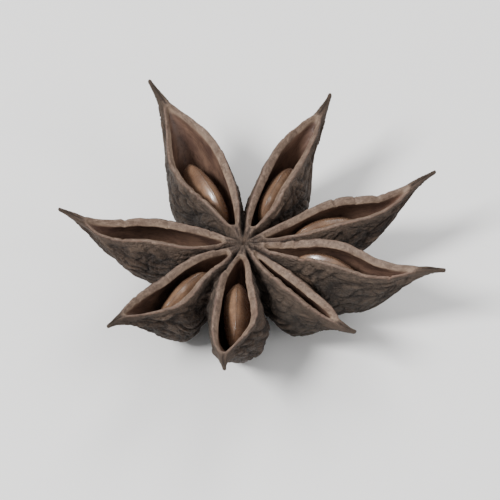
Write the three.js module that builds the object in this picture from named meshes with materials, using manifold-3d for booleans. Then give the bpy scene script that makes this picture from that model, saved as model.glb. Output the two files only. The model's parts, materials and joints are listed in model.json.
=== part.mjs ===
// Star anise: the dried, split-open fruit of Illicium verum, lying with its open side up.
//
// Eight boat-shaped follicles stand in one whorl round a short central column. Each has a rounded keel
// below, bulging sides, a seam that has split along the top into two lips, and a beak that thins to a
// point. The follicles and the column are grown together, and the stump of the fruit stalk ends below
// them, so the husk is one solid. A flat, hard seed lies on edge in most of the open follicles.
//
// Millimetres, +Z up. The origin is the middle of the stalk's broken end, on the plane that the fruit
// rests on, and a bearing is measured anticlockwise from +X.

import * as THREE from "three";
import { mergeVertices } from "three/addons/utils/BufferGeometryUtils.js";
import Module from "manifold-3d";

const wasm = await Module();
wasm.setup();

// ---- Driving dimensions ----

const COLUMN_RIM_HEIGHT = 5.5; // the lips where they meet the central column
const WIDEST_AT = 0.45; // where a follicle is widest, as a share of its reach
const NARROWS_IN = 1.1; // how sharply it narrows from there to the column; 1 is half a sine wave
const NARROWS_OUT = 1.95; // and to its beak
const DEEPEST_AT = 0.42; // where a follicle is deepest, as a share of its reach
const INNER_DEPTH = 0.64; // depth at the column, as a share of the greatest depth
const KEEL_RISES = 2.3; // how sharply the keel rises from the deepest point to the beak
const BELLY_HEIGHT = 0.6; // height of the widest line above the keel, as a share of the depth
const BEAK_FROM = 0.5; // where the lips start to turn up towards the beak's point
const TIP_THICKNESS = 0.42; // the beak's point
const BEND_CURVE = 2.5; // how much of a follicle's sideways bend is in its beak
const FREE_FROM = 0.35; // where a follicle stands clear of its neighbours

const LIP = 0.55; // width of a split edge, seen from above
const LIP_SLOPE = 0.36; // the part of it that slopes down into the split
const LIP_FALL = 0.34; // how far that part falls
const LIP_CROWN = 0.1; // how far the top is rounded up between its outer edges
const WALL = 0.5; // husk beside the seed
const PARTITION = WALL / 3; // and where two hollows are back to back, each follicle's part of it
const FLOOR = 0.6; // husk under the seed
const SPLIT_FROM = 0.1; // where the seam's split starts and ends, as shares of the reach
const SPLIT_TO = 0.85;
const HOLLOW_BLUNT = 0.25; // how blunt the hollow's ends are; 1 is half a sine wave
const GAPE_BLUNT = 0.75; // and the split's
const HOLLOW_LEAST_DEPTH = 0.1; // at its ends
const PRESSED = 0.12; // how far neighbours are grown into each other where they touch
const KEEL_FLAT = 0.06; // worn off the keels that touch the resting plane

// Slow waves make each follicle uneven. A pace is a wave's angle in radians from the axis to the tip.
// A follicle's bearing, taken as an angle in radians, shifts its waves, so that no two are alike.
const SEAM_WANDER = 0.28; // how far a seam strays from a straight line
const SEAM_PACE = 11;
const RIM_WAVE = 0.15; // how far the lips rise and dip along a follicle
const RIM_PACE = 14;
const GAPE_WAVE = 0.18; // how uneven a split is, as a share of its gape
const GAPE_PACE = 9;
const SWELLING = 0.11; // dried-in lumps on the sides, which are two waves that also run down them
const SWELLING_WAVES = [
  { size: 1, pace: 19, downPace: 5, shift: 1 },
  { size: 0.6, pace: 31, downPace: -9, shift: 2 },
];

const COLUMN_RADIUS = 2.0;
const COLUMN_TOP_RADIUS = 0.95;
const KNOB_HEIGHT = 0.05; // the middle of the column's top over the lips
const DIMPLE_DEPTH = 0.1; // and the dimple in it, under the lips
const STALK_RADIUS = 1.05;
const STALK_LENGTH = 1.5; // the stump that shows below the follicles

const SEED_LENGTH = 5.8;
const SEED_HEIGHT = 4.2;
const SEED_THICKNESS = 2.1;
const SEED_TAPER = 0.1; // how much fuller than an oval its inner end is, and slimmer its outer end
const SEED_BELOW_LIPS = 0.6; // top edge of a seed under the lips
const SEED_AT = 0.42; // middle of a seed, as a share of the reach

// One row for each follicle. Lengths are in millimetres and small angles in radians: reach is from the
// axis to the tip, gape is the split's greatest width, rise is how far the beak turns up, bend how far it
// turns aside, lean is the roll about the follicle's own length, and lift is the keel's height off the
// resting plane. seed is the size of the seed it holds, 0 for none, and pitch is how far that has tipped.
const COLUMNS = "bearing reach girth depth gape rise bend lean lift seed pitch".split(" ");
const ROWS = [
  [16, 14.7, 3.4, 6.2, 1.2, 1.5, 0.7, -0.06, 0.2, 0.96, 0.1],
  [64, 13.8, 3.6, 6.5, 1.5, 1.1, -0.5, 0.06, 0, 0.96, -0.12],
  [116, 14.8, 4.3, 6.3, 2.6, 1.7, 0.4, -0.05, 0.1, 1.05, 0.1],
  [176, 13.4, 3.6, 6.2, 1.4, 1.3, -0.7, 0.08, 0, 0, 0],
  [222, 13.7, 3.8, 6.1, 1.6, 2, 0.5, 0.04, 0.3, 0.94, -0.08],
  [266, 13.2, 4, 6.4, 2, 1.4, -0.3, -0.05, 0, 1, 0.12],
  [309, 11.9, 2.7, 5, 0.4, 0.9, 0.6, 0.06, 0.6, 0, 0],
  [343, 15.2, 3.4, 6.5, 1.1, 1.8, -0.6, 0.03, 0, 0.96, 0.06],
];
const FOLLICLES = ROWS.map((row) => Object.fromEntries(COLUMNS.map((name, i) => [name, row[i]])));

// Mesh fineness. Half a follicle's section has 10 steps: one across the lip, four down the side, five to
// the keel. Half a hollow's has 8: across the mouth, down to the lip, down its slope, two, and three.
// Sections stand closer towards the tip, by CROWDING.
const HULL_AROUND = 20;
const HULL_ALONG = 20;
const CROWDING = 0.92;
const HOLLOW_AROUND = 16;
const HOLLOW_ALONG = 13;
const SEED_AROUND = 14;
const SEED_ALONG = 12;
const COLUMN_AROUND = 24;
const SAME_POINT = 1e-4; // points nearer than this are one
const TOLERANCE = 0.005; // how far the joined husk may be simplified

// The tangent of half the angle to the next follicle, anticlockwise (1) and clockwise (-1).
FOLLICLES.forEach((f, index) => {
  f.room = {};
  for (const side of [1, -1]) {
    const next = FOLLICLES[(index + side + FOLLICLES.length) % FOLLICLES.length];
    const between = (side * (next.bearing - f.bearing) + 360) % 360;
    f.room[side] = Math.tan(THREE.MathUtils.degToRad(between / 2));
  }
});

const HUSK = new THREE.MeshStandardMaterial({ color: 0x54473f, roughness: 0.78, metalness: 0 });
const SEED = new THREE.MeshStandardMaterial({ color: 0x6d5341, roughness: 0.25, metalness: 0 });

// ---- Closed surfaces and solids ----

const smooth = THREE.MathUtils.smoothstep;
const mix = THREE.MathUtils.lerp;

// A closed surface: a sphere whose points are put at place(along, turn), with both shares from 0 to 1.
function closedSurface(around, along, place) {
  const geometry = new THREE.SphereGeometry(1, around, along);
  const points = geometry.getAttribute("position");
  for (let row = 0, i = 0; row <= along; row++) {
    for (let column = 0; column <= around; column++, i++) {
      points.setXYZ(i, ...place(row / along, (column % around) / around));
    }
  }
  return geometry;
}

function solidOf(geometry) {
  geometry.deleteAttribute("normal");
  geometry.deleteAttribute("uv");
  const merged = mergeVertices(geometry, SAME_POINT);
  const vertProperties = merged.getAttribute("position").array;
  return new wasm.Manifold(
    new wasm.Mesh({ numProp: 3, vertProperties, triVerts: new Uint32Array(merged.index.array) }),
  );
}

function geometryOf(solid) {
  const { vertProperties, triVerts } = solid.getMesh();
  const geometry = new THREE.BufferGeometry();
  geometry.setAttribute("position", new THREE.BufferAttribute(vertProperties, 3));
  geometry.setIndex(new THREE.BufferAttribute(triVerts, 1));
  geometry.computeVertexNormals();
  return geometry;
}

// ---- A follicle's lines, each against the share of its reach ----

const ARCH_SHIFT = Math.log(0.5) / Math.log(WIDEST_AT); // puts the top of a half sine wave at WIDEST_AT

function widthAt(f, share) {
  const arch = Math.sin(Math.PI * share ** ARCH_SHIFT);
  return f.girth * arch ** (share < WIDEST_AT ? NARROWS_IN : NARROWS_OUT) + TIP_THICKNESS * share;
}

function depthAt(f, share) {
  if (share < DEEPEST_AT) {
    const inward = 1 - share / DEEPEST_AT;
    return f.depth * (1 - (1 - INNER_DEPTH) * inward ** 2);
  }
  const outward = (share - DEEPEST_AT) / (1 - DEEPEST_AT);
  return (f.depth - TIP_THICKNESS) * Math.cos((Math.PI / 2) * outward) ** KEEL_RISES + TIP_THICKNESS;
}

// Height of the lips above the resting plane, which rubs a small flat on the keels that touch it.
function rimAt(f, share) {
  const midway = mix(COLUMN_RIM_HEIGHT, f.depth + f.lift - KEEL_FLAT, smooth(share, 0, DEEPEST_AT));
  const wave = RIM_WAVE * Math.sin(Math.PI * share) * Math.sin(RIM_PACE * share + 2 * f.bearing);
  return midway + wave + f.rise * Math.max(0, (share - BEAK_FROM) / (1 - BEAK_FROM)) ** 2;
}

// How far along the split a share of the reach is: 0 at its inner end, 1 at its outer end.
const splitShare = (share) => (share - SPLIT_FROM) / (SPLIT_TO - SPLIT_FROM);

function gapeAt(f, share) {
  const along = splitShare(share);
  if (along <= 0 || along >= 1) return 0;
  const uneven = 1 + GAPE_WAVE * Math.sin(GAPE_PACE * share + f.bearing);
  return f.gape * Math.sin(Math.PI * along) ** GAPE_BLUNT * uneven;
}

// Room from a follicle's middle line to the plane halfway to its neighbour on that side.
const roomAt = (f, share, side) => share * f.reach * f.room[side];

// Sets a point given by share of reach, offset from the follicle's own middle line and height.
function setOut(f, share, aside, height) {
  const out = share * f.reach;
  const wander = SEAM_WANDER * share * Math.sin(SEAM_PACE * share + f.bearing);
  const leaning = f.lean * (height - f.depth / 2) * smooth(share, 0, FREE_FROM);
  const sideways = aside + wander + leaning + f.bend * share ** BEND_CURVE;
  const bearing = THREE.MathUtils.degToRad(f.bearing);
  return [
    out * Math.cos(bearing) - sideways * Math.sin(bearing),
    out * Math.sin(bearing) + sideways * Math.cos(bearing),
    height,
  ];
}

function swellingAt(f, share, down) {
  let lumps = 0;
  for (const { size, pace, downPace, shift } of SWELLING_WAVES) {
    lumps += size * Math.sin(pace * share + downPace * down + shift * f.bearing);
  }
  return SWELLING * Math.sin(Math.PI * share) * lumps;
}

// ---- The follicle's outside and its hollow ----

// The outside, from share 0 inside the column to the tip, and round from the seam (turn 0) by the keel.
function follicleOutside(f) {
  const lipTurn = 0.1;
  const bellyTurn = 0.5;
  return closedSurface(HULL_AROUND, HULL_ALONG, (along, turn) => {
    const share = along ** CROWDING;
    const side = turn < 0.5 ? 1 : -1;
    const down = turn < 0.5 ? 2 * turn : 2 - 2 * turn;
    const width = widthAt(f, share);
    const belly = Math.min(width / 2, roomAt(f, share, side) + PRESSED);
    const depth = depthAt(f, share);
    const rim = rimAt(f, share);
    const lipEdge = Math.min(belly, gapeAt(f, share) / 2 + LIP * Math.sqrt(width / f.girth));
    if (along === 0 || along === 1) return setOut(f, share, 0, rim - depth / 2);
    if (down <= lipTurn) {
      const across = down / lipTurn;
      return setOut(f, share, side * lipEdge * across, rim + LIP_CROWN * (1 - across ** 2));
    }
    const swelling = swellingAt(f, share, side * down) * smooth(down, lipTurn, bellyTurn);
    if (down <= bellyTurn) {
      const fall = (down - lipTurn) / (bellyTurn - lipTurn);
      const aside = belly - (belly - lipEdge) * (1 - fall) ** 2;
      return setOut(f, share, side * (aside + swelling), rim - fall * (1 - BELLY_HEIGHT) * depth);
    }
    const quarter = ((down - bellyTurn) / (1 - bellyTurn)) * (Math.PI / 2);
    const aside = (belly + swelling) * Math.cos(quarter);
    const drop = 1 - BELLY_HEIGHT + BELLY_HEIGHT * Math.sin(quarter);
    return setOut(f, share, side * aside, rim - drop * depth);
  });
}

// What is cut away: the split between the lips, with their sloping edges, and the seed's hollow under it.
function follicleHollow(f) {
  const above = 1;
  const mouthTurn = 0.125;
  const crestTurn = 0.25;
  const slitTurn = 0.375;
  const bellyTurn = 0.625;
  return closedSurface(HOLLOW_AROUND, HOLLOW_ALONG, (along, turn) => {
    const share = mix(SPLIT_FROM, SPLIT_TO, along);
    const side = turn < 0.5 ? 1 : -1;
    const down = turn < 0.5 ? 2 * turn : 2 - 2 * turn;
    const full = Math.sin(Math.PI * along) ** HOLLOW_BLUNT;
    const rim = rimAt(f, share);
    if (along === 0 || along === 1) return setOut(f, share, 0, rim + above / 2);
    const room = roomAt(f, share, side) - PARTITION;
    const mouth = Math.min(room, gapeAt(f, share) / 2 + LIP_SLOPE * full);
    const slit = Math.min(mouth, gapeAt(f, share) / 2);
    const belly = Math.max(slit, Math.min(room, (widthAt(f, share) / 2 - WALL) * full));
    const depth = Math.max(HOLLOW_LEAST_DEPTH, (depthAt(f, share) - FLOOR) * full);
    const lipDepth = Math.min(LIP_FALL, depth / 3); // a shallow end keeps two thirds for the hollow
    const bellyDepth = mix(lipDepth, depth, 1 - BELLY_HEIGHT);
    if (down <= mouthTurn) return setOut(f, share, side * mouth * (down / mouthTurn), rim + above);
    if (down <= crestTurn) {
      const fall = (down - mouthTurn) / (crestTurn - mouthTurn);
      return setOut(f, share, side * mouth, rim + above * (1 - fall));
    }
    if (down <= slitTurn) {
      const fall = (down - crestTurn) / (slitTurn - crestTurn);
      return setOut(f, share, side * mix(mouth, slit, fall), rim - lipDepth * fall);
    }
    if (down <= bellyTurn) {
      const fall = (down - slitTurn) / (bellyTurn - slitTurn);
      const aside = belly - (belly - slit) * (1 - fall) ** 2;
      return setOut(f, share, side * aside, rim - mix(lipDepth, bellyDepth, fall));
    }
    const quarter = ((down - bellyTurn) / (1 - bellyTurn)) * (Math.PI / 2);
    const drop = mix(bellyDepth, depth, Math.sin(quarter));
    return setOut(f, share, side * belly * Math.cos(quarter), rim - drop);
  });
}

// ---- The central column with the stalk's stump ----

// From the stalk's broken end, which is a little worn, the radius swells to the column's, which the
// follicles hide. It draws in again to a low knob with a dimple in it.
function column() {
  const profile = [
    [0, 0],
    [STALK_RADIUS * 0.95, 0],
    [STALK_RADIUS, STALK_LENGTH * 0.4],
    [STALK_RADIUS * 1.1, STALK_LENGTH * 0.8],
    [COLUMN_RADIUS * 0.9, STALK_LENGTH * 1.25],
    [COLUMN_RADIUS, STALK_LENGTH * 1.9],
    [COLUMN_RADIUS, COLUMN_RIM_HEIGHT * 0.78],
    [COLUMN_TOP_RADIUS * 1.25, COLUMN_RIM_HEIGHT * 0.96],
    [COLUMN_TOP_RADIUS * 0.7, COLUMN_RIM_HEIGHT + KNOB_HEIGHT],
    [0, COLUMN_RIM_HEIGHT - DIMPLE_DEPTH],
  ];
  const turned = new THREE.LatheGeometry(
    profile.map(([radius, height]) => new THREE.Vector2(radius, height)),
    COLUMN_AROUND,
  );
  return turned.rotateX(Math.PI / 2);
}

// ---- The husk: one solid ----

function husk() {
  let solid = solidOf(column());
  for (const f of FOLLICLES) solid = solid.add(solidOf(follicleOutside(f)));
  for (const f of FOLLICLES) solid = solid.subtract(solidOf(follicleHollow(f)));
  const wide = 3 * Math.max(...FOLLICLES.map((f) => f.reach)); // more than the fruit is across
  const below = new THREE.BoxGeometry(wide, wide, wide).translate(0, 0, -wide / 2);
  return geometryOf(solid.subtract(solidOf(below)).simplify(TOLERANCE));
}

// ---- A seed: flat, oval and a little narrower at its outer end ----

function seed(f) {
  const middle = rimAt(f, SEED_AT) - SEED_BELOW_LIPS - (f.seed * SEED_HEIGHT) / 2;
  return closedSurface(SEED_AROUND, SEED_ALONG, (along, turn) => {
    const pole = Math.PI * along;
    const round = 2 * Math.PI * turn;
    const girth = (f.seed / 2) * Math.sin(pole) * (1 + SEED_TAPER * Math.cos(pole));
    const outward = (-f.seed / 2) * SEED_LENGTH * Math.cos(pole);
    const aside = SEED_THICKNESS * girth * Math.sin(round);
    const upward = SEED_HEIGHT * girth * Math.cos(round);
    const tippedOut = outward * Math.cos(f.pitch) - upward * Math.sin(f.pitch);
    const tippedUp = upward * Math.cos(f.pitch) + outward * Math.sin(f.pitch);
    return setOut(f, SEED_AT + tippedOut / f.reach, aside, middle + tippedUp);
  });
}

// ---- The fruit ----

const fruit = new THREE.Group();

function addPiece(name, geometry, material) {
  const mesh = new THREE.Mesh(geometry, material);
  mesh.name = name;
  fruit.add(mesh);
}

addPiece("husk", husk(), HUSK);
FOLLICLES.filter((f) => f.seed).forEach((f, index) => {
  addPiece(`seed_${index + 1}`, geometryOf(solidOf(seed(f))), SEED);
});

export default fruit;
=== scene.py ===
import json
import math
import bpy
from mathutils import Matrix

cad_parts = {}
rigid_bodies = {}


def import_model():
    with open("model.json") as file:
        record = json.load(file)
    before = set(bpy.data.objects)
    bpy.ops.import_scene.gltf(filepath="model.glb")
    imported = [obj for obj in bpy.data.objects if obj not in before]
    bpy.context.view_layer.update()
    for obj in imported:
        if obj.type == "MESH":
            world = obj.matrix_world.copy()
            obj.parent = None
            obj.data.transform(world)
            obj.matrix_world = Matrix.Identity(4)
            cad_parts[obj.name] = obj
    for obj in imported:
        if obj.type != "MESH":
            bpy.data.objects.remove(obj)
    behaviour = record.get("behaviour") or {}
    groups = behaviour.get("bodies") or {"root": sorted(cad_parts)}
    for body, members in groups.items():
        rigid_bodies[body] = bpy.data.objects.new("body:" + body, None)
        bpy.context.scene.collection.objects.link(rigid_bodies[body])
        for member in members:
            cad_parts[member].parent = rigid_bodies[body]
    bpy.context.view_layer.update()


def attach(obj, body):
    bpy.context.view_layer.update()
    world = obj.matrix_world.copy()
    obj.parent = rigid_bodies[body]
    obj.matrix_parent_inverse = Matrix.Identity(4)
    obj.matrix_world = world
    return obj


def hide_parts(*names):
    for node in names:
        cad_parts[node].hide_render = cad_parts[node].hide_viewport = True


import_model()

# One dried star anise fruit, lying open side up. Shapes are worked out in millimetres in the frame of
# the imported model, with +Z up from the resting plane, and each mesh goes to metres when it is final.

from types import SimpleNamespace

import bpy
import numpy as np
from mathutils import Matrix, Vector

scene = bpy.context.scene


# ---- Husk ----
# The woody fruit wall: eight boat-shaped follicles grown together round a short column. Each has dried,
# wrinkled and split along its upper seam, which leaves two pale lips over a smooth hollow. One piece.

MILLIMETRE = 0.001  # in metres

# A place along a follicle is a share of its reach, from 0 at the fruit's axis to 1 at the beak's point.
COLUMN_RIM_HEIGHT = 5.5  # the lips where they meet the column
WIDEST_AT = 0.45
NARROWS_IN = 1.1  # how sharply a follicle narrows from there to the column; 1 is half a sine wave
NARROWS_OUT = 1.95  # and to its beak
DEEPEST_AT = 0.42
INNER_DEPTH = 0.64  # depth at the column, as a share of the greatest depth
KEEL_RISES = 2.3  # how sharply the keel rises from the deepest place to the beak
BELLY_HEIGHT = 0.6  # height of the widest line above the keel, as a share of the depth
BEAK_FROM = 0.5  # where the lips start to turn up towards the beak's point
TIP_THICKNESS = 0.42  # the beak's point
BEND_CURVE = 2.5  # the higher, the more of a follicle's sideways bend is in its beak
FREE_FROM = 0.35  # where a follicle stands clear of its neighbours
PRESSED = 0.12  # how far neighbours are grown into each other where they touch
KEEL_FLAT = 0.06  # worn off the keels that touch the resting plane

LIP_WIDTH = 0.55  # a split edge, seen from above
LIP_SLOPE = 0.36  # the part of it that slopes down into the split
LIP_FALL = 0.34  # how far that part falls
LIP_CROWN = 0.1  # how far the top is rounded up between its outer edges
SPLIT_FROM = 0.1  # where the seam's split starts and ends
SPLIT_TO = 0.85
GAPE_BLUNT = 0.75  # how blunt the split's ends are; 1 is half a sine wave
HOLLOW_BLUNT = 0.25  # and the hollow's
HOLLOW_LEAST_DEPTH = 0.1  # at its ends
WALL = 0.5  # husk beside the seed
PARTITION = WALL / 3  # and where two hollows are back to back, each follicle's part of it
FLOOR_THICKNESS = 0.6  # husk under the seed

# Slow waves make each follicle uneven. A pace is a wave's angle in radians from the axis to the tip.
# A follicle's bearing, taken as an angle in radians, shifts its waves, so that no two are alike.
SEAM_WANDER = 0.28  # how far a seam strays from a straight line
SEAM_PACE = 11
RIM_WAVE = 0.15  # how far the lips rise and dip along a follicle
RIM_PACE = 14
GAPE_WAVE = 0.18  # how uneven a split is, as a share of its gape
GAPE_PACE = 9
SWELLING = 0.11  # dried-in lumps on the sides, which are two waves that also run down them
SWELLING_WAVES = [
    {"size": 1, "pace": 19, "down_pace": 5, "shift": 1},
    {"size": 0.6, "pace": 31, "down_pace": -9, "shift": 2},
]

# One row for each follicle. bearing is in degrees anticlockwise from +X, and reach is from the axis to
# the tip. girth and depth are about its greatest width and depth, and gape is the split's greatest
# width. rise is how far the beak turns up, and bend how far it turns aside. lean is the roll about the
# follicle's own length, in radians, and lift is the keel's height off the resting plane. seed is its
# seed's size against the usual one, 0 for none, and pitch is how far that seed has tipped, in radians.
SIZE_NAMES = "bearing reach girth depth gape rise bend lean lift seed pitch".split()
FOLLICLE_SIZES = [
    (16, 14.7, 3.4, 6.2, 1.2, 1.5, 0.7, -0.06, 0.2, 0.96, 0.1),
    (64, 13.8, 3.6, 6.5, 1.5, 1.1, -0.5, 0.06, 0, 0.96, -0.12),
    (116, 14.8, 4.3, 6.3, 2.6, 1.7, 0.4, -0.05, 0.1, 1.05, 0.1),
    (176, 13.4, 3.6, 6.2, 1.4, 1.3, -0.7, 0.08, 0, 0, 0),
    (222, 13.7, 3.8, 6.1, 1.6, 2, 0.5, 0.04, 0.3, 0.94, -0.08),
    (266, 13.2, 4, 6.4, 2, 1.4, -0.3, -0.05, 0, 1, 0.12),
    (309, 11.9, 2.7, 5, 0.4, 0.9, 0.6, 0.06, 0.6, 0, 0),
    (343, 15.2, 3.4, 6.5, 1.1, 1.8, -0.6, 0.03, 0, 0.96, 0.06),
]
follicles = [SimpleNamespace(**dict(zip(SIZE_NAMES, sizes))) for sizes in FOLLICLE_SIZES]

# The tangent of half the angle to the next follicle, anticlockwise (after) and clockwise (before).
for number, f in enumerate(follicles):
    after, before = follicles[(number + 1) % len(follicles)], follicles[number - 1]
    f.room_after = math.tan(math.radians((after.bearing - f.bearing) % 360 / 2))
    f.room_before = math.tan(math.radians((f.bearing - before.bearing) % 360 / 2))


def ease(value, low, high):
    """A smooth step: 0 up to low, 1 from high."""
    t = np.clip((value - low) / (high - low), 0, 1)
    return t * t * (3 - 2 * t)


def fade(value, low, high):
    """A smooth step down: 1 up to low, 0 from high."""
    return 1 - ease(value, low, high)


def bell(value, width):
    """1 at zero, a third of that one width away, and next to nothing two widths away."""
    return np.exp(-((value / width) ** 2))


def mix(a, b, share):
    """From a, at share 0, straight to b, at share 1."""
    return a + (b - a) * share


ARCH_SHIFT = math.log(0.5) / math.log(WIDEST_AT)  # puts the top of a half sine wave at WIDEST_AT


def width_at(f, share):
    arch = np.sin(np.pi * np.clip(share, 0, 1) ** ARCH_SHIFT).clip(0)
    narrows = np.where(share < WIDEST_AT, NARROWS_IN, NARROWS_OUT)
    return f.girth * arch**narrows + TIP_THICKNESS * share


def depth_at(f, share):
    inward = np.clip(1 - share / DEEPEST_AT, 0, 1)
    outward = np.clip((share - DEEPEST_AT) / (1 - DEEPEST_AT), 0, 1)
    inner = f.depth * (1 - (1 - INNER_DEPTH) * inward**2)
    beak = np.cos(np.pi / 2 * outward).clip(0) ** KEEL_RISES
    return np.where(share < DEEPEST_AT, inner, (f.depth - TIP_THICKNESS) * beak + TIP_THICKNESS)


def rim_at(f, share):
    """Height of the lips above the resting plane, which rubs a small flat on the keels that touch it."""
    midway = mix(COLUMN_RIM_HEIGHT, f.depth + f.lift - KEEL_FLAT, ease(share, 0, DEEPEST_AT))
    wave = RIM_WAVE * np.sin(np.pi * share) * np.sin(RIM_PACE * share + 2 * f.bearing)
    return midway + wave + f.rise * np.clip((share - BEAK_FROM) / (1 - BEAK_FROM), 0, None) ** 2


def split_share(share):
    """How far along the split a place is: 0 at its inner end, 1 at its outer end."""
    return np.clip((share - SPLIT_FROM) / (SPLIT_TO - SPLIT_FROM), 0, 1)


def gape_at(f, share):
    opened = np.sin(np.pi * split_share(share)).clip(0) ** GAPE_BLUNT
    return f.gape * opened * (1 + GAPE_WAVE * np.sin(GAPE_PACE * share + f.bearing))


def room_at(f, share, side):
    """From a follicle's middle line to the plane halfway to its neighbour on that side."""
    return share * f.reach * np.where(side > 0, f.room_after, f.room_before)


def middle_line(f, share, height):
    """How far a follicle's middle line strays sideways from its bearing."""
    share = np.clip(share, 0, 1)
    wander = SEAM_WANDER * share * np.sin(SEAM_PACE * share + f.bearing)
    leaning = f.lean * (height - f.depth / 2) * ease(share, 0, FREE_FROM)
    return wander + leaning + f.bend * share**BEND_CURVE


def set_out(f, share, aside, height):
    """Points given by share of reach, offset from the follicle's own middle line, and height."""
    out = share * f.reach
    sideways = aside + middle_line(f, share, height)
    c, s = math.cos(math.radians(f.bearing)), math.sin(math.radians(f.bearing))
    return np.stack([out * c - sideways * s, out * s + sideways * c, height], axis=-1)


def set_out_ring(f, along, share, aside, height, end_height):
    """The same for a closed skin, whose rings at along 0 and 1 shrink to a point on the middle line."""
    at_end = (along == 0) | (along == 1)
    return set_out(f, share, np.where(at_end, 0, aside), np.where(at_end, end_height, height))


def closed_surface(around, along, place):
    """Points and faces of a closed skin: a ball's grid with its points put at place(along, turn)."""
    rows, columns = np.meshgrid(np.arange(1, along) / along, np.arange(around) / around, indexing="ij")
    ends = place(np.array([0.0, 1.0]), np.zeros(2))
    points = np.concatenate([ends[:1], place(rows.ravel(), columns.ravel()), ends[1:]])
    faces = []
    for column in range(around):
        beside = (column + 1) % around
        faces.append((0, 1 + column, 1 + beside))
        for row in range(along - 2):
            here, below = 1 + row * around, 1 + (row + 1) * around
            faces.append((here + beside, here + column, below + column, below + beside))
        last_row = 1 + (along - 2) * around
        faces.append((last_row + beside, last_row + column, len(points) - 1))
    return points, faces


def side_and_down(turn):
    """A turn round a section starts at the seam: which side it is on, and how far down to the keel."""
    return np.where(turn < 0.5, 1, -1), np.where(turn < 0.5, 2 * turn, 2 - 2 * turn)


def half_width(f, share, side, drop):
    """Half a follicle's width at a drop below its rim, as a share of its depth."""
    width = width_at(f, share)
    belly = np.minimum(width / 2, room_at(f, share, side) + PRESSED)
    lip_edge = np.minimum(belly, gape_at(f, share) / 2 + LIP_WIDTH * np.sqrt(width / f.girth))
    fall = np.clip(drop / (1 - BELLY_HEIGHT), 0, 1)
    under = np.clip((drop - (1 - BELLY_HEIGHT)) / BELLY_HEIGHT, 0, 1)
    above_belly = belly - (belly - lip_edge) * (1 - fall) ** 2
    return np.where(under > 0, belly * np.sqrt(1 - under**2), above_belly)


def hollow_at(f, share, side):
    """Half the hollow's width at its mouth, slit and belly, and how deep lip, belly and floor lie."""
    full = np.sin(np.pi * split_share(share)).clip(0) ** HOLLOW_BLUNT
    room = room_at(f, share, side) - PARTITION
    mouth = np.minimum(room, gape_at(f, share) / 2 + LIP_SLOPE * full)
    slit = np.minimum(mouth, gape_at(f, share) / 2)
    belly = np.maximum(slit, np.minimum(room, (width_at(f, share) / 2 - WALL) * full))
    depth = np.maximum(HOLLOW_LEAST_DEPTH, (depth_at(f, share) - FLOOR_THICKNESS) * full)
    lip_depth = np.minimum(LIP_FALL, depth / 3)  # a shallow end keeps two thirds for the hollow
    belly_depth = mix(lip_depth, depth, 1 - BELLY_HEIGHT)
    return SimpleNamespace(
        mouth=mouth, slit=slit, belly=belly, lip_depth=lip_depth, belly_depth=belly_depth, depth=depth
    )


def swelling_at(f, share, down):
    lumps = 0
    for wave in SWELLING_WAVES:
        angle = wave["pace"] * share + wave["down_pace"] * down + wave["shift"] * f.bearing
        lumps = lumps + wave["size"] * np.sin(angle)
    return SWELLING * np.sin(np.pi * share) * lumps


def follicle_outside(f):
    """From the fruit's axis to the tip, and round from the seam by the keel and back."""
    crowding = 0.92  # sections stand closer towards the tip
    lip_turn, belly_turn = 0.1, 0.5  # how far down the turn the lip's outer edge and the belly are

    def place(along, turn):
        share = along**crowding
        side, down = side_and_down(turn)
        depth, rim = depth_at(f, share), rim_at(f, share)
        across = np.clip(down / lip_turn, 0, 1)
        fall = np.clip((down - lip_turn) / (belly_turn - lip_turn), 0, 1)
        quarter = np.clip((down - belly_turn) / (1 - belly_turn), 0, 1) * np.pi / 2
        drop = np.where(
            down < belly_turn,
            fall * (1 - BELLY_HEIGHT),
            1 - BELLY_HEIGHT + BELLY_HEIGHT * np.sin(quarter),
        )
        aside = half_width(f, share, side, drop) * np.where(down < lip_turn, across, 1)
        swelling = swelling_at(f, share, side * down) * ease(down, lip_turn, belly_turn)
        aside += swelling * np.where(down < belly_turn, 1, np.cos(quarter))
        height = rim - drop * depth + np.where(down < lip_turn, LIP_CROWN * (1 - across**2), 0)
        return set_out_ring(f, along, share, side * aside, height, rim - depth / 2)

    return closed_surface(around=150, along=150, place=place)


def follicle_hollow(f):
    """What is cut away: the split, with the lips' slopes into it, and the seed's hollow under it."""
    above = 1.0  # the cut starts this far over the lips
    mouth_turn, crest_turn, slit_turn, belly_turn = 0.125, 0.25, 0.375, 0.625  # down the turn again
    steps = [mouth_turn, crest_turn, slit_turn, belly_turn]

    def place(along, turn):
        share = mix(SPLIT_FROM, SPLIT_TO, along)
        side, down = side_and_down(turn)
        rim, cut = rim_at(f, share), hollow_at(f, share, side)
        part = [down < step for step in steps]
        on_wall, on_slope, on_side, under = (
            np.clip((down - start) / (end - start), 0, 1) for start, end in zip(steps, steps[1:] + [1])
        )
        quarter = under * np.pi / 2
        side_wall = cut.belly - (cut.belly - cut.slit) * (1 - on_side) ** 2
        aside = np.select(
            part,
            [cut.mouth * down / mouth_turn, cut.mouth, mix(cut.mouth, cut.slit, on_slope), side_wall],
            cut.belly * np.cos(quarter),
        )
        on_side_depth = mix(cut.lip_depth, cut.belly_depth, on_side)
        height = rim + np.select(
            part,
            [above, above * (1 - on_wall), -cut.lip_depth * on_slope, -on_side_depth],
            -mix(cut.belly_depth, cut.depth, np.sin(quarter)),
        )
        return set_out_ring(f, along, share, side * aside, height, rim + above / 2)

    return closed_surface(around=112, along=100, place=place)


# Radii and heights of the column and the stalk's stump under it. From the stalk's broken end, the radius
# swells to the column's, which the follicles hide, and draws in to a low knob with a dimple in it.
COLUMN_OUTLINE = [
    (0, 0),
    (1, 0),
    (1.05, 0.6),
    (1.16, 1.2),
    (1.8, 1.88),
    (2, 2.85),
    (2, 4.29),
    (1.19, 5.28),
    (0.67, 5.55),
    (0, 5.4),
]


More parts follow.
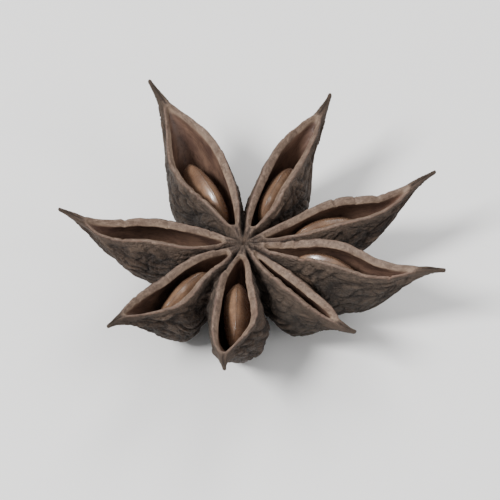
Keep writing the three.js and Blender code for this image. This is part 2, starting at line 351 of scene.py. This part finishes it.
def column():
    radii, heights = zip(*COLUMN_OUTLINE)
    steps = np.linspace(0, 1, len(COLUMN_OUTLINE))

    def place(along, turn):
        radius, height = np.interp(along, steps, radii), np.interp(along, steps, heights)
        angle = 2 * np.pi * turn
        return np.stack([radius * np.cos(angle), radius * np.sin(angle), height], axis=-1)

    return closed_surface(around=72, along=90, place=place)


def mesh_object(name, points, faces, home):
    mesh = bpy.data.meshes.new(name)
    mesh.from_pydata(points.tolist(), [], faces)
    made = bpy.data.objects.new(name, mesh)
    home.objects.link(made)
    return made


# The follicles are joined to the column, the hollows are cut out, and the whole is made one even skin.
outsides = bpy.data.collections.new("follicle_outsides")
hollows = bpy.data.collections.new("follicle_hollows")
for tools in (outsides, hollows):
    scene.collection.children.link(tools)
for f in follicles:
    mesh_object("outside", *follicle_outside(f), outsides)
    mesh_object("hollow", *follicle_hollow(f), hollows)
rough_husk = mesh_object("rough_husk", *column(), scene.collection)
for operation, tools in (("UNION", outsides), ("DIFFERENCE", hollows)):
    boolean = rough_husk.modifiers.new(operation, "BOOLEAN")
    boolean.operation = operation
    boolean.operand_type = "COLLECTION"
    boolean.collection = tools
    boolean.solver = "MANIFOLD"
grown = rough_husk.modifiers.new("grown_together", "REMESH")
grown.mode = "VOXEL"
grown.voxel_size = 0.09
worn = rough_husk.modifiers.new("edges_rounded", "SMOOTH")
worn.factor = 0.5
worn.iterations = 2
finished = rough_husk.evaluated_get(bpy.context.evaluated_depsgraph_get())
fine_mesh = bpy.data.meshes.new_from_object(finished)
for tools in (outsides, hollows):
    for spare in list(tools.objects):
        bpy.data.meshes.remove(spare.data)  # and its object with it
    bpy.data.collections.remove(tools)
bpy.data.meshes.remove(rough_husk.data)


def lattice_noise(points, seed, per_mm=1):
    """Smooth random values, mostly from -1 to 1. They change over about one step of a random lattice,
    and per_mm is how many steps a millimetre has, one number or one for each direction."""
    lattice_size = 32
    slopes = np.random.default_rng(seed).normal(size=(lattice_size, lattice_size, lattice_size, 3))
    slopes /= np.linalg.norm(slopes, axis=-1, keepdims=True)
    points = points * per_mm
    cell = np.floor(points).astype(int)
    t = points - cell
    share = t**3 * (t * (6 * t - 15) + 10)
    total = np.zeros(len(points))
    for corner in np.ndindex(2, 2, 2):
        i, j, k = ((cell + corner) % lattice_size).T
        pull = np.sum(slopes[i, j, k] * (t - corner), axis=1)
        total += pull * np.prod(np.where(corner, share, 1 - share), axis=1)
    return 1.7 * total  # brings the highest values near 1


def furrows(points, seed, per_mm, width):
    """1 along thin winding lines, 0 away from them."""
    sharpness = 1.5
    return (1 - np.abs(lattice_noise(points, seed, per_mm)) / width).clip(0) ** sharpness


def read_vectors(source, key):
    """Places or normals of a mesh's points, one row each."""
    values = np.empty(len(source) * 3, np.float32)
    source.foreach_get(key, values)
    return values.reshape(-1, 3).astype(float)


def seen_along(points, angle):
    """How far out along a bearing the points are, and how far to its left."""
    c, s = math.cos(angle), math.sin(angle)
    return points[:, 0] * c + points[:, 1] * s, points[:, 1] * c - points[:, 0] * s


skin = read_vectors(fine_mesh.vertices, "co")
outward = read_vectors(fine_mesh.vertex_normals, "vector")
height = skin[:, 2]  # keeps up with the skin as that is moved below
from_axis = np.hypot(skin[:, 0], skin[:, 1])

# Each point belongs to the follicle whose middle line it is nearest, and knows its place on it. A point
# behind the axis or past a follicle's tip counts as a long way off that follicle.
FAR = 50
JUST_PAST_TIP = 1.02
shares, asides, strays = [], [], []
for f in follicles:
    out, sideways = seen_along(skin, math.radians(f.bearing))
    share = out / f.reach
    aside = sideways - middle_line(f, share, height)
    shares.append(share)
    asides.append(aside)
    strays.append(np.abs(aside) + FAR * (-share).clip(0) + FAR * (share - JUST_PAST_TIP).clip(0))
owner = np.argmin(strays, axis=0)
share = np.choose(owner, shares).clip(0.001, 1)
aside = np.choose(owner, asides)
own = SimpleNamespace(**{
    name: np.array([getattr(f, name) for f in follicles])[owner]
    for name in SIZE_NAMES + ["room_after", "room_before"]
})
side = np.sign(aside)
below_rim = rim_at(own, share) - height
drop = below_rim / depth_at(own, share)

# Half the width of the cut at each point's height, which tells the lining from the outside.
cut = hollow_at(own, share, side)
on_slope = np.clip(below_rim / cut.lip_depth, 0, 1)
on_side = np.clip((below_rim - cut.lip_depth) / (cut.belly_depth - cut.lip_depth), 0, 1)
under = np.clip((below_rim - cut.belly_depth) / (cut.depth - cut.belly_depth), 0, 1)
cut_half = np.select(
    [below_rim < cut.lip_depth, under > 0],
    [mix(cut.mouth, cut.slit, on_slope), cut.belly * np.sqrt(1 - under**2)],
    cut.belly - (cut.belly - cut.slit) * (1 - on_side) ** 2,
)

# The kinds of surface, from 0 to 1. The steps are in millimetres, or in shares of the reach.
in_split = ease(share, SPLIT_FROM - 0.02, SPLIT_FROM + 0.01)
in_split *= fade(share, SPLIT_TO - 0.01, SPLIT_TO + 0.02)
lining = fade(np.abs(aside) - cut_half, 0.12, 0.24) * in_split * (below_rim < cut.depth + 0.15)
stump = fade(from_axis, 1.1, 1.5) * fade(height, 1.1, 1.8)
middle = fade(from_axis, 0.7, 1.6) * ease(height, 4, 5)  # the column's top
lip = fade(below_rim, 0.3, 0.55) * (1 - stump)
beak = ease(share, 0.72, 0.95)
apart = ease(from_axis, 1.2, 3.0)  # all but the column

# Clefts between neighbours, and the closed ends of each seam.
off_planes = []
for f in follicles:
    out, sideways = seen_along(skin, math.radians(f.bearing) + math.atan(f.room_after))
    off_planes.append(np.abs(sideways) + FAR * (-out).clip(0))
cleft = bell(np.min(off_planes, axis=0), 0.15) * fade(below_rim, 0.5, 1.2)
cleft *= ease(from_axis, 0.3, 0.8) * fade(from_axis, 3.0, 4.2)
seam = bell(aside, 0.13) * fade(below_rim, 0.1, 0.4) * (1 - in_split)
seam *= ease(share, 0.03, 0.06) * fade(share, 0.93, 0.99)

# The grain: millimetres along, across and down each follicle, with a pattern of its own for each. The
# stump's wood has another, drawn out straight down.
NEXT_PATTERN = 23.7  # from one follicle's pattern to the next one's
GRAIN_DEPTH = 6  # a follicle's whole depth
STUMP_GRAIN = (1, 1, 0.4)
grain = np.stack([share * own.reach + NEXT_PATTERN * owner, aside, GRAIN_DEPTH * drop], axis=1)
grain += stump[:, None] * (skin * STUMP_GRAIN - grain)

# The dried skin has broad lumps, dents, long wrinkles and a fine net between them, which wind about.
# Depths and heights are in millimetres.
SKIN_RAISED = 0.05
LUMP_HEIGHT = 0.12
WRINKLE_DEPTH = 0.16
NET_DEPTH = 0.06
DENT_DEPTH = 0.12
LINING_RIPPLE = 0.025
SEAM_DEPTH = 0.15
WINDING = 0.6
bent = np.stack([lattice_noise(grain, seed, per_mm=0.5) for seed in (11, 12, 13)], axis=1)
winding = grain + WINDING * bent
lumps = lattice_noise(winding, 21, per_mm=(0.4, 0.6, 0.55))
wrinkles = furrows(winding, 22, per_mm=(0.3, 1.1, 1.0), width=0.3)
cross_wrinkles = furrows(winding, 28, per_mm=(0.8, 0.7, 0.75), width=0.22)
net = furrows(winding, 23, per_mm=(0.9, 2.2, 2.1), width=0.35)
dents = ease(lattice_noise(winding, 27, per_mm=(0.6, 0.8, 0.8)), 0.25, 0.7)
outer = (1 - lining) * (1 - 0.7 * lip) * (1 - 0.5 * beak) * (1 - stump)
creased = np.maximum(wrinkles, 0.8 * cross_wrinkles)
pushed = outer * (
    SKIN_RAISED
    + LUMP_HEIGHT * lumps
    - WRINKLE_DEPTH * creased * apart
    - NET_DEPTH * net
    - DENT_DEPTH * dents * apart
)
ripple = lattice_noise(grain, 24, per_mm=(0.4, 0.8, 0.8))
pushed += lining * (1 - lip) * LINING_RIPPLE * ripple - SEAM_DEPTH * seam

# Across a lip, 0 is its edge at the split and 1 is where the wrinkled skin starts, not quite evenly.
lip_outside = half_width(own, share, side, drop=0 * share)
across_lip = (np.abs(aside) - cut.slit) / np.maximum(lip_outside - cut.slit, 0.05)
slow_strays = lattice_noise(grain, 33, per_mm=(0.5, 0.2, 0))
quick_strays = lattice_noise(grain, 32, per_mm=(1.6, 1.8, 0))
across_lip += 0.22 * slow_strays + 0.14 * quick_strays
bare = lip * ease(share, 0.03, 0.07) * fade(share, 0.86, 0.95) * fade(across_lip, 0.72, 1.0)
# The pale inner edge of each lip at the split: partly the edge's own paler colour, partly a painted
# highlight.
edge = bare * in_split * fade(across_lip, 0.0, 0.24)
skin += outward * pushed[:, None]

# The lips are ragged and chipped, the clefts and the column's top are sunken, and the stump's broken end
# is full of torn fibres round its shrunken pith.
RAGGED_HEIGHT = 0.08
CHIP_DEPTH = 0.14
CLEFT_DEPTH = 0.3
DIMPLE_DEPTH, DIMPLE_RADIUS = 0.35, 0.4
FIBRE_LENGTH = 0.16
PITH_DEPTH, PITH_RADIUS = 0.3, 0.3
STUMP_RIBS = 0.06
on_lips = np.stack([grain[:, 0], side, owner], axis=1)
ragged = lattice_noise(on_lips, 25, per_mm=(1.2, 3.3, 1.7))
chipped = ease(lattice_noise(on_lips, 26, per_mm=(1.9, 5.3, 1.7)), 0.3, 0.6)
skin[:, 2] += lip * apart * (1 - beak) * (RAGGED_HEIGHT * ragged - CHIP_DEPTH * chipped)
skin[:, 2] -= CLEFT_DEPTH * cleft + DIMPLE_DEPTH * bell(from_axis, DIMPLE_RADIUS) * ease(height, 4, 5)
torn = lattice_noise(skin, 29, per_mm=(3.2, 3.2, 0.5))
broken_end = stump * fade(height, 0.1, 0.4)
skin[:, 2] += broken_end * (FIBRE_LENGTH * torn.clip(0) + PITH_DEPTH * bell(from_axis, PITH_RADIUS))
skin[:, :2] *= 1 - STUMP_RIBS * (stump * torn)[:, None]
skin[:, 2] = np.maximum(skin[:, 2], 0)

# Each beak is drawn in round its middle to a finer point than the even skin leaves.
TIP_DRAWN_IN = 0.3
drawn_in = TIP_DRAWN_IN * ease(share, 0.9, 1)
tip_height = rim_at(own, share) - depth_at(own, share) / 2
bearings = np.radians(own.bearing)
skin[:, 0] += drawn_in * aside * np.sin(bearings)
skin[:, 1] -= drawn_in * aside * np.cos(bearings)
skin[:, 2] += drawn_in * (tip_height - height)
fine_mesh.vertices.foreach_set("co", skin.astype(np.float32).ravel())
fine_mesh.update()


def keep_on_points(mesh, name, values):
    """Keeps a number or a vector for each point of a mesh, for its material to read."""
    vector = values.ndim == 2
    layer = mesh.attributes.new(name, "FLOAT_VECTOR" if vector else "FLOAT", "POINT")
    layer.data.foreach_set("vector" if vector else "value", values.astype(np.float32).ravel())


# Each side of each follicle has dried to a tone of its own, below 0 greyer and above it warmer.
by_side = np.stack([owner * 1.37 + 0.5, side * 0.4 + 0.5, 0 * share + 0.5], axis=1)
for name, values in {
    "grain": grain,
    "lining": lining,
    "lip": lip,
    "bare": bare,
    "edge": edge,
    # the wrinkles, net and dents, which the material paints darker as shade
    "crease_shade": outer * (0.9 * creased + 0.5 * net + 0.4 * dents).clip(0, 1),
    "joint": np.maximum(seam, cleft),
    # the tops of the lumps, painted paler: partly dust and wear, partly a painted highlight
    "raised": outer * ease(lumps - 1.2 * creased - 0.5 * dents, 0.05, 0.7),
    "middle": middle,
    "stump": stump,
    "beak": beak,
    "below_rim": below_rim,
    "tone": lattice_noise(by_side, 31),
}.items():
    keep_on_points(fine_mesh, name, values)

# Faces are joined where the skin is nearly flat, which keeps the wrinkles and edges as fine as they are.
MOST_TRIANGLES = 190_000
fine_husk = bpy.data.objects.new("fine_husk", fine_mesh)
scene.collection.objects.link(fine_husk)
fine_mesh.calc_loop_triangles()
joined = fine_husk.modifiers.new("flat_parts_joined", "DECIMATE")
joined.ratio = MOST_TRIANGLES / len(fine_mesh.loop_triangles)
finished = fine_husk.evaluated_get(bpy.context.evaluated_depsgraph_get())
husk_mesh = bpy.data.meshes.new_from_object(finished)
husk_mesh.name = "husk_dried"
bpy.data.meshes.remove(fine_mesh)
husk_mesh.transform(Matrix.Scale(MILLIMETRE, 4))


def colour(code):
    """A linear colour from the six hex digits of its look on a screen."""
    screen = [int(code[i : i + 2], 16) / 255 for i in (0, 2, 4)]
    return tuple(v / 12.92 if v < 0.04045 else ((v + 0.055) / 1.055) ** 2.4 for v in screen) + (1,)


def add(tree, kind, inputs=None, **settings):
    """A shader node with its settings, and its inputs set to values or linked to other nodes."""
    made = tree.nodes.new(kind)
    for name, value in settings.items():
        setattr(made, name, value)
    for name, value in (inputs or {}).items():
        if isinstance(value, bpy.types.NodeSocket):
            tree.links.new(value, made.inputs[name])
        else:
            made.inputs[name].default_value = value
    return made


def stored(tree, name, vector=False):
    """What keep_on_points has kept under that name."""
    return add(tree, "ShaderNodeAttribute", attribute_name=name).outputs["Vector" if vector else "Fac"]


def reckoned(tree, operation, a, b=0.0):
    """Two numbers added, multiplied and so on."""
    return add(tree, "ShaderNodeMath", {0: a, 1: b}, operation=operation).outputs[0]


def moved(tree, operation, place, by):
    """A place added to or multiplied by another vector, or scaled by a number."""
    second = "Scale" if operation == "SCALE" else 1
    node = add(tree, "ShaderNodeVectorMath", {0: place, second: by}, operation=operation)
    return node.outputs["Vector"]


def noise(tree, place, per_mm, detail, roughness=0.5):
    """Blender's noise. Of its outputs, Fac is a number and Color is three, used as a vector."""
    inputs = {"Vector": place, "Scale": per_mm, "Detail": detail, "Roughness": roughness}
    return add(tree, "ShaderNodeTexNoise", inputs).outputs


def ranged(tree, value, low, high, to_low=0.0, to_high=1.0):
    """A smooth step from to_low, up to low, to to_high, from high."""
    inputs = {"Value": value, "From Min": low, "From Max": high, "To Min": to_low, "To Max": to_high}
    return add(tree, "ShaderNodeMapRange", inputs, interpolation_type="SMOOTHSTEP").outputs["Result"]


# A Mix node's sockets go by number, as several share a name: 0 is the factor, 2 and 3 are numbers, and
# 6 and 7 are colours. Its outputs 0 and 2 are a number and a colour.


def between(tree, under, over, mask):
    """A number that is under where the mask is 0, and over where it is 1."""
    return add(tree, "ShaderNodeMix", {0: mask, 2: under, 3: over}, data_type="FLOAT").outputs[0]


def painted(tree, under, *layers):
    """A colour with others laid over it. A layer is its colour, its mask and how strongly it shows. A
    colour is hex digits or another node's output."""
    for over, mask, strength in layers:
        under, over = (colour(c) if isinstance(c, str) else c for c in (under, over))
        inputs = {0: reckoned(tree, "MULTIPLY", mask, strength), 6: under, 7: over}
        under = add(tree, "ShaderNodeMix", inputs, data_type="RGBA").outputs[2]
    return under


def effect(name, inputs, outputs):
    """An empty shader group with named sockets. Gives the group, its inputs and its output node."""
    group = bpy.data.node_groups.new(name, "ShaderNodeTree")
    for label, kind, value in inputs:
        socket = group.interface.new_socket(label, in_out="INPUT", socket_type=kind)
        if value is not None:
            socket.default_value = value
    for label, kind in outputs:
        group.interface.new_socket(label, in_out="OUTPUT", socket_type=kind)
    return group, group.nodes.new("NodeGroupInput").outputs, group.nodes.new("NodeGroupOutput")


FLOAT, VECTOR = "NodeSocketFloat", "NodeSocketVector"

# Soft blotches with broken edges, as dried plant skin has. Softness widens the edge of a blotch.
mottling, given, result = effect(
    "mottling",
    [("Place", VECTOR, None), ("Blotches per mm", FLOAT, 1.0), ("Softness", FLOAT, 0.2)],
    [("Mask", FLOAT)],
)
blotches = noise(mottling, given["Place"], given["Blotches per mm"], detail=5.0, roughness=0.62)["Fac"]
low = reckoned(mottling, "SUBTRACT", 0.5, given["Softness"])
high = reckoned(mottling, "ADD", 0.5, given["Softness"])
mottling.links.new(ranged(mottling, blotches, low, high), result.inputs["Mask"])

# Fine raised and sunken lines that run the long way, as on a dried skin or a seed's coat.
LINE_WIDTH, FURROW_WIDTH = 0.09, 0.035  # how far from the noise's middle value a line reaches
DRAWN_OUT = (0.35, 1.0, 1.0)  # the pattern changes most slowly along the grain
fine_lines, given, result = effect(
    "fine_lines",
    [("Place", VECTOR, None), ("Lines per mm", FLOAT, 3.0), ("Waviness", FLOAT, 0.5)],
    [("Height", FLOAT), ("Furrow", FLOAT)],
)
sway = noise(fine_lines, given["Place"], 0.9, detail=2.0)["Color"]
swaying = moved(fine_lines, "ADD", given["Place"], moved(fine_lines, "SCALE", sway, given["Waviness"]))
drawn_out = moved(fine_lines, "MULTIPLY", swaying, DRAWN_OUT)
lines = noise(fine_lines, drawn_out, given["Lines per mm"], detail=3.0, roughness=0.6)["Fac"]
away = reckoned(fine_lines, "ABSOLUTE", reckoned(fine_lines, "SUBTRACT", lines, 0.5))
fine_lines.links.new(ranged(fine_lines, away, 0.0, LINE_WIDTH), result.inputs["Height"])
fine_lines.links.new(ranged(fine_lines, away, 0.0, FURROW_WIDTH, 1.0, 0.0), result.inputs["Furrow"])


def placed(tree, group, **values):
    """A shader group in a material, with its inputs by name, spaces written as underscores."""
    node = add(tree, "ShaderNodeGroup", node_tree=group)
    for name, value in values.items():
        socket = node.inputs[name.replace("_", " ")]
        if isinstance(value, bpy.types.NodeSocket):
            tree.links.new(value, socket)
        else:
            socket.default_value = value
    return node.outputs


def new_material(name, **values):
    """A material with its Principled shader's plain values set. Gives it, its tree and the shader."""
    material = bpy.data.materials.new(name)
    material.use_nodes = True
    shader = material.node_tree.nodes["Principled BSDF"]
    for label, value in values.items():
        shader.inputs[label.replace("_", " ")].default_value = value
    return material, material.node_tree, shader


husk_skin, tree, shader = new_material("husk_skin", Specular_IOR_Level=0.35)
grain_place = stored(tree, "grain", vector=True)
lining_mask = stored(tree, "lining")
large = placed(tree, mottling, Place=grain_place, Blotches_per_mm=0.55, Softness=0.16)["Mask"]
stains = placed(tree, mottling, Place=grain_place, Blotches_per_mm=1.1, Softness=0.12)["Mask"]
small = placed(tree, mottling, Place=grain_place, Blotches_per_mm=2.6, Softness=0.14)["Mask"]
specks = placed(tree, mottling, Place=grain_place, Blotches_per_mm=7.0, Softness=0.1)["Mask"]
lines_out = placed(tree, fine_lines, Place=grain_place, Lines_per_mm=2.6, Waviness=0.8)
lines_in = placed(tree, fine_lines, Place=grain_place, Lines_per_mm=1.7, Waviness=0.25)
warmer_side = ranged(tree, stored(tree, "tone"), 0.0, 0.5)
greyer_side = ranged(tree, stored(tree, "tone"), -0.5, 0.0, 1.0, 0.0)
near_rim = ranged(tree, stored(tree, "below_rim"), 0.3, 1.7, 1.0, 0.0)
thin_creases = reckoned(tree, "MULTIPLY", lines_out["Furrow"], 0.6)
# Painted shade: the skin is painted darker in its wrinkles, net and dents, and darker along the fine
# lines.
crease_shade_and_lines = reckoned(tree, "MAXIMUM", stored(tree, "crease_shade"), thin_creases)
stump_cracks = reckoned(tree, "MULTIPLY", stored(tree, "stump"), lines_in["Furrow"])

skin_colour = painted(
    tree,
    "31251e",
    ("47382d", large, 1.0),
    ("5b4a3d", small, 0.55),
    ("241b15", specks, 0.4),
    ("56402f", warmer_side, 0.45),
    ("46413a", greyer_side, 0.45),
    ("615043", near_rim, 0.4),
    # paler lump tops: dust and wear, and a painted highlight
    ("725f50", stored(tree, "raised"), 0.45),
    ("604f42", stored(tree, "beak"), 0.6),
    # painted shade in the wrinkles, net and dents, and darker fine lines
    ("17100d", crease_shade_and_lines, 0.8),
)
lining_colour = painted(tree, "56423a", ("775d4e", large, 1.0), ("382a23", lines_in["Furrow"], 0.4))
lip_colour = painted(
    tree,
    "6b584b",
    ("8b7565", small, 1.0),
    ("5f4c3f", stains, 0.6),
    ("4c3e35", specks, 0.45),
    ("4a3b31", lines_out["Furrow"], 0.6),
    # the lips' inner edges painted paler: their own colour and a painted highlight
    ("9f8975", stored(tree, "edge"), 0.5),
)
whole = painted(
    tree,
    skin_colour,
    (lining_colour, lining_mask, 1.0),
    (lip_colour, stored(tree, "bare"), 1.0),
    (lip_colour, stored(tree, "middle"), 0.3),
    ("17100d", stored(tree, "joint"), 0.75),
    ("7a6653", stored(tree, "stump"), 0.7),
    ("2a1f18", stump_cracks, 0.8),
)
tree.links.new(whole, shader.inputs["Base Color"])

# The skin is matt, the lips a little less so, and the lining has a dull sheen.
rough_skin = ranged(tree, small, 0.0, 1.0, 0.62, 0.84)
rough_lining = ranged(tree, large, 0.0, 1.0, 0.3, 0.45)
rough_lips = 0.66
rough_sides = between(tree, rough_skin, rough_lining, lining_mask)
tree.links.new(between(tree, rough_sides, rough_lips, stored(tree, "lip")), shader.inputs["Roughness"])

relief_out = reckoned(tree, "ADD", lines_out["Height"], reckoned(tree, "MULTIPLY", specks, 0.5))
relief_in = reckoned(tree, "MULTIPLY", lines_in["Height"], 0.12)
relief = between(tree, relief_out, relief_in, lining_mask)
bump = add(tree, "ShaderNodeBump", {"Height": relief, "Strength": 0.8, "Distance": 0.1 * MILLIMETRE})
tree.links.new(bump.outputs["Normal"], shader.inputs["Normal"])

husk_mesh.materials.clear()  # the Booleans leave an empty place for one
husk_mesh.materials.append(husk_skin)
husk_mesh.shade_smooth()
husk_dried = bpy.data.objects.new("husk_dried", husk_mesh)
scene.collection.objects.link(husk_dried)
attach(husk_dried, "root")
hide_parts("husk")


# ---- Seeds ----
# Flat oval seeds with a hard, glossy coat. Each stands on edge in its hollow, held by nothing but the
# walls, with the scar it grew from at its inner end and a fine ridge round its edge.

SEED_LENGTH = 5.8
SEED_HEIGHT = 4.2
SEED_THICKNESS = 2.1
SEED_AT = 0.42  # middle of a seed, as a share of its follicle's reach
SEED_BELOW_LIPS = 0.6  # its top edge under the lips
SEED_TAPER = 0.1  # how much fuller than an oval its inner end is, and slimmer its outer end
EDGE_SHARPNESS = 0.35  # how sharply its two sides meet; 0 is an oval
SEED_UNEVENNESS = 0.02  # a share of its size
RIDGE_HEIGHT = 0.03  # a share of the seed's height
RIDGE_WIDTH = 0.13  # in radians round the seed, nearly
SCAR_DEPTH = 0.16
SCAR_AT = 0.05  # a share of the way from the seed's inner end to its outer end
SCAR_LENGTH = 0.05
SCAR_WIDTH = 0.9  # in radians round the seed, from its lowest line


def seed_skin(f, along, turn):
    """A seed's points, each with its place in the coat's pattern, the scar and the ridge there."""
    pole, angle = np.pi * along, 2 * np.pi * turn
    girth = np.sin(pole) * (1 + SEED_TAPER * np.cos(pole)) / 2
    ridge = bell(np.sin(angle), RIDGE_WIDTH)
    scar = bell(along - SCAR_AT, SCAR_LENGTH) * bell(angle - np.pi, SCAR_WIDTH)
    outward = -np.cos(pole) * SEED_LENGTH / 2 + SCAR_DEPTH * scar
    aside = np.sin(angle) * np.abs(np.sin(angle)) ** EDGE_SHARPNESS * girth * SEED_THICKNESS
    upward = np.cos(angle) * girth * SEED_HEIGHT * (1 - RIDGE_HEIGHT + RIDGE_HEIGHT * ridge)
    on_seed = np.stack([outward, aside, upward], axis=1)
    dents = lattice_noise(on_seed * 0.55 + f.bearing, 41)
    size = f.seed * (1 - SEED_UNEVENNESS + SEED_UNEVENNESS * dents)
    outward, aside, upward = (on_seed * size[:, None]).T
    tipped_out = outward * math.cos(f.pitch) - upward * math.sin(f.pitch)
    tipped_up = upward * math.cos(f.pitch) + outward * math.sin(f.pitch)
    middle = rim_at(f, SEED_AT) - SEED_BELOW_LIPS - f.seed * SEED_HEIGHT / 2
    points = set_out(f, SEED_AT + tipped_out / f.reach, aside, middle + tipped_up)
    return np.column_stack([points, on_seed + f.bearing, scar, ridge])


seed_coat, tree, shader = new_material("seed_coat", Coat_Weight=0.35, Coat_Roughness=0.12)
seed_place = stored(tree, "grain", vector=True)
clouds = placed(tree, mottling, Place=seed_place, Blotches_per_mm=0.5, Softness=0.2)["Mask"]
flecks = placed(tree, mottling, Place=seed_place, Blotches_per_mm=4.0, Softness=0.08)["Mask"]
coat_lines = placed(tree, fine_lines, Place=seed_place, Lines_per_mm=2.2, Waviness=0.6)
coat = painted(
    tree,
    "6b5140",
    ("9b7a60", clouds, 1.0),
    ("4a382c", flecks, 0.35),
    ("49372b", coat_lines["Furrow"], 0.3),
    ("4c392c", stored(tree, "ridge"), 0.5),
    ("b39c82", stored(tree, "scar"), 1.0),
)
tree.links.new(coat, shader.inputs["Base Color"])
tree.links.new(ranged(tree, flecks, 0.0, 1.0, 0.22, 0.36), shader.inputs["Roughness"])
relief = coat_lines["Height"]
bump = add(tree, "ShaderNodeBump", {"Height": relief, "Strength": 0.1, "Distance": 0.03 * MILLIMETRE})
tree.links.new(bump.outputs["Normal"], shader.inputs["Normal"])

for number, f in enumerate((f for f in follicles if f.seed), start=1):
    made, faces = closed_surface(around=96, along=60, place=lambda *at: seed_skin(f, *at))
    seed = mesh_object(f"seed_coat_{number}", made[:, :3] * MILLIMETRE, faces, scene.collection)
    keep_on_points(seed.data, "grain", made[:, 3:6])
    keep_on_points(seed.data, "scar", made[:, 6])
    keep_on_points(seed.data, "ridge", made[:, 7])
    seed.data.materials.append(seed_coat)
    seed.data.shade_smooth()
    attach(seed, "root")
    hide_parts(f"seed_{number}")


# ---- Floor ----
# A plain pale table top, smooth and hardly clouded, which is wide enough for every view. It belongs to
# the stage, and the fruit only lies on it.

FLOOR_REACH = 1  # metres each way from the fruit
corners = [(x * FLOOR_REACH, y * FLOOR_REACH, 0) for x, y in ((-1, -1), (1, -1), (1, 1), (-1, 1))]
floor_mesh = bpy.data.meshes.new("floor")
floor_mesh.from_pydata(corners, [], [(0, 1, 2, 3)])
floor = bpy.data.objects.new("floor", floor_mesh)
scene.collection.objects.link(floor)
table_top, tree, shader = new_material("table_top", Roughness=0.6)
in_metres = add(tree, "ShaderNodeTexCoord").outputs["Object"]
in_millimetres = moved(tree, "SCALE", in_metres, 1 / MILLIMETRE)
cloudy = placed(tree, mottling, Place=in_millimetres, Blotches_per_mm=0.02, Softness=0.4)["Mask"]
tree.links.new(painted(tree, "f4f3f1", ("faf9f7", cloudy, 1.0)), shader.inputs["Base Color"])
floor_mesh.materials.append(table_top)


# ---- Light and camera ----
# Three soft round lights about half a metre away, one from the left, one from the right and one from
# behind, in a room of even pale light. A long lens looks down on the open side.

studio = bpy.data.worlds.new("studio")
studio.use_nodes = True
background = studio.node_tree.nodes["Background"].inputs
background["Color"].default_value = (0.97, 0.98, 1, 1)
background["Strength"].default_value = 0.6
scene.world = studio


def soft_light(name, at, width, watts):
    lamp = bpy.data.lights.new(name, "AREA")
    lamp.shape = "DISK"
    lamp.size = width
    lamp.energy = watts
    held = bpy.data.objects.new(name, lamp)
    held.location = at
    held.rotation_euler = (-held.location).to_track_quat("-Z", "Y").to_euler()
    scene.collection.objects.link(held)


soft_light("key", at=(-0.3, -0.14, 0.38), width=0.15, watts=3.4)
soft_light("fill", at=(0.4, -0.25, 0.3), width=0.3, watts=0.7)
soft_light("behind", at=(0.12, 0.4, 0.3), width=0.25, watts=1.2)

FRUIT_MIDDLE = Vector((0.0005, 0, 0.0045))
EYE_ELEVATION = math.radians(52)
EYE_DISTANCE = 0.5
eye = bpy.data.cameras.new("eye")
eye.lens = 500
eye.clip_start = 0.01
eye.clip_end = 5
camera = bpy.data.objects.new("eye", eye)
towards_eye = Vector((0, -math.cos(EYE_ELEVATION), math.sin(EYE_ELEVATION)))
camera.location = FRUIT_MIDDLE + EYE_DISTANCE * towards_eye
camera.rotation_euler = (math.pi / 2 - EYE_ELEVATION, 0, 0)
scene.collection.objects.link(camera)
scene.camera = camera
